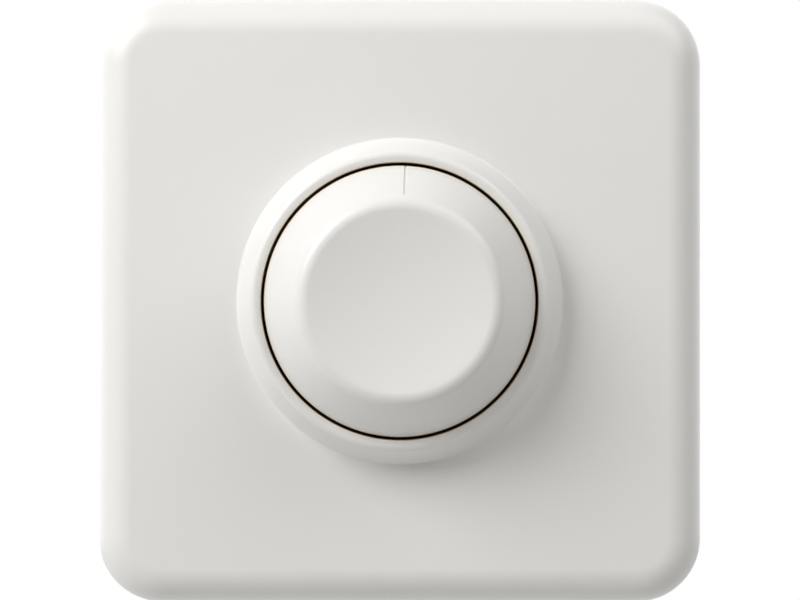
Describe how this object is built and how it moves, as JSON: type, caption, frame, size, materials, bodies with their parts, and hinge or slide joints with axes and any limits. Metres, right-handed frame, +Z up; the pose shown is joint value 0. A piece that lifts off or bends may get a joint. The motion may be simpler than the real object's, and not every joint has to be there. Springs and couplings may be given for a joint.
{
  "type": "rotary dimmer switch",
  "caption": "Flush-mounted push-and-turn rotary light dimmer with a square rounded cover plate, raised collar, dished cone knob and wired insert behind.",
  "frame": {"origin": "on the shaft's axis, in the plane of the wall that the plate lies against", "axes": "+Z up along the wall, -Y out of the wall towards the user, +X to the user's right"},
  "size_m": [0.086, 0.0476, 0.086],
  "materials": {
    "cover_plastic": "moulded, semi-gloss warm white",
    "knob_plastic": "moulded, semi-gloss warm white",
    "spring_steel": "drawn, bright",
    "turned_steel": "turned, fine rings",
    "brass": "turned and milled",
    "nickel_brass": "nickel plated",
    "zinc_steel": "galvanised sheet",
    "zinc_screw": "zinc plated",
    "insulator": "smooth film",
    "housing_plastic": "moulded, fine matt texture",
    "board": "solder mask over glass cloth",
    "case_plastic": "moulded",
    "carbon": "printed, matt",
    "rotor_plastic": "moulded",
    "contact_bronze": "stamped strip",
    "switch_plastic": "moulded",
    "plunger_plastic": "moulded",
    "iron_powder": "coated",
    "copper_wire": "enamelled",
    "capacitor_yellow": "moulded box",
    "capacitor_red": "moulded box",
    "epoxy": "moulded, matt",
    "fuse_glass": "clear tube",
    "resistor_coat": "dipped coating",
    "preset_blue": "moulded"
  },
  "bodies": {
    "insert": {"cover_plate": "cover_plastic", "bush": "brass", "bush_washer": "zinc_steel", "bush_nut": "nickel_brass", "mounting_plate": "zinc_steel", "insulating_sheet": "insulator", "rear_housing": "housing_plastic", "housing_screws": "zinc_screw", "circuit_board": "board", "control_case": "case_plastic", "resistance_track": "carbon", "collector_ring": "brass", "switch_case": "switch_plastic", "fixed_contacts": "contact_bronze", "return_spring": "spring_steel", "terminals": "brass", "terminal_screws": "zinc_screw", "choke_core": "iron_powder", "choke_winding": "copper_wire", "film_capacitor": "capacitor_yellow", "timing_capacitor": "capacitor_red", "triac": "epoxy", "triac_pad": "insulator", "triac_screw": "zinc_screw", "fuse_tube": "fuse_glass", "fuse_caps": "nickel_brass", "fuse_clips": "contact_bronze", "resistors": "resistor_coat", "diac": "preset_blue", "trimmer_body": "preset_blue"},
    "rotor": {"wiper_rotor": "rotor_plastic", "wiper_contact": "contact_bronze"},
    "spindle": {"shaft": "turned_steel", "shaft_clip": "spring_steel", "knob": "knob_plastic", "knob_clip": "spring_steel"},
    "plunger": {"switch_plunger": "plunger_plastic", "moving_contact": "contact_bronze"},
    "preset": {"trimmer_rotor": "rotor_plastic"}
  },
  "joints": [
    {"name": "knob_turn", "type": "hinge", "parent": "insert", "child": "rotor", "pos_m": [0, 0, 0], "axis": [0, 1, 0], "range_deg": [-140, 140]},
    {"name": "knob_push", "type": "slide", "parent": "rotor", "child": "spindle", "axis": [0, 1, 0], "range_m": [0, 0.0012], "stiffness_N_per_m": 1500, "springref_m": -0.0015},
    {"name": "plunger_slide", "type": "slide", "parent": "insert", "child": "plunger", "axis": [0, 1, 0], "range_m": [0, 0.0012], "deforming": ["return_spring"]},
    {"name": "preset_turn", "type": "hinge", "parent": "insert", "child": "preset", "pos_m": [0.014, 0.002, -0.0125], "axis": [0, 1, 0], "range_deg": [-135, 135]}
  ],
  "couplings": [
    {"joint": "plunger_slide", "follows": "knob_push", "ratio": 1}
  ]
}
